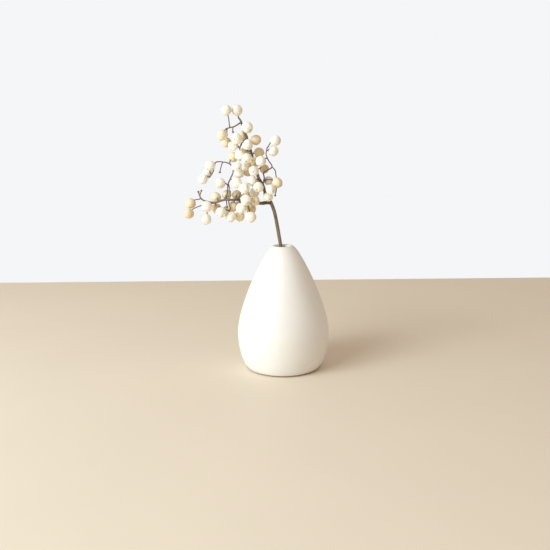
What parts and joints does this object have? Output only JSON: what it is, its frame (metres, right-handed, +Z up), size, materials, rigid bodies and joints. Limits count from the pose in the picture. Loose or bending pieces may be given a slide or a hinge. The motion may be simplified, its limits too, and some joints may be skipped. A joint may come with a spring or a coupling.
{
  "type": "bud vase",
  "caption": "Small white ceramic bud vase, wide at the belly and narrow at the mouth, holding a dried branching sprig of pale berries that lifts out.",
  "frame": {"origin": "centre of the flat underside of the vase's foot, on the surface that the vase stands on", "axes": "+Z up along the vase's axis, +X to the right and +Y away from a viewer who sees the sprig lean to the left"},
  "size_m": [0.1008, 0.066, 0.1861],
  "materials": {
    "glaze": "satin white glaze",
    "bark": "dry dark bark",
    "thin_bark": "dry thin bark",
    "pale_berry": "dry waxy skin",
    "tan_berry": "dry waxy skin"
  },
  "bodies": {
    "vase": {"vase_body": "glaze"},
    "sprig": {"main_stem": "bark", "left_branch": "bark", "right_twig": "thin_bark", "middle_twig": "thin_bark", "inner_twig": "thin_bark", "upper_left_twig": "bark", "lower_twig": "bark", "berry_01": "pale_berry", "berry_02": "pale_berry", "berry_03": "pale_berry", "berry_04": "tan_berry", "berry_05": "tan_berry", "berry_06": "pale_berry", "berry_07": "pale_berry", "berry_08": "pale_berry", "berry_09": "tan_berry", "berry_10": "tan_berry", "berry_11": "tan_berry", "berry_12": "tan_berry", "berry_13": "pale_berry", "berry_14": "pale_berry", "berry_15": "tan_berry", "berry_16": "pale_berry", "berry_17": "pale_berry", "berry_18": "pale_berry", "berry_19": "tan_berry", "berry_20": "pale_berry", "berry_21": "pale_berry", "berry_22": "pale_berry", "berry_23": "pale_berry", "berry_24": "pale_berry", "berry_25": "pale_berry", "berry_26": "pale_berry", "berry_27": "pale_berry", "berry_28": "pale_berry", "berry_29": "pale_berry", "berry_30": "tan_berry", "berry_31": "pale_berry", "berry_32": "tan_berry", "berry_33": "pale_berry", "berry_34": "pale_berry", "berry_35": "tan_berry", "berry_36": "pale_berry", "berry_37": "tan_berry", "berry_38": "pale_berry", "berry_39": "tan_berry", "berry_40": "tan_berry", "berry_41": "pale_berry", "berry_42": "tan_berry", "berry_43": "pale_berry", "berry_44": "tan_berry", "berry_45": "pale_berry", "berry_46": "tan_berry", "berry_47": "tan_berry", "berry_48": "pale_berry", "berry_49": "pale_berry", "berry_50": "pale_berry", "berry_51": "pale_berry"}
  },
  "joints": [
    {"name": "sprig_lift", "type": "slide", "parent": "vase", "child": "sprig", "axis": [-0.1626, -0.0512, 0.9854], "range_m": [0, 0.1]}
  ]
}
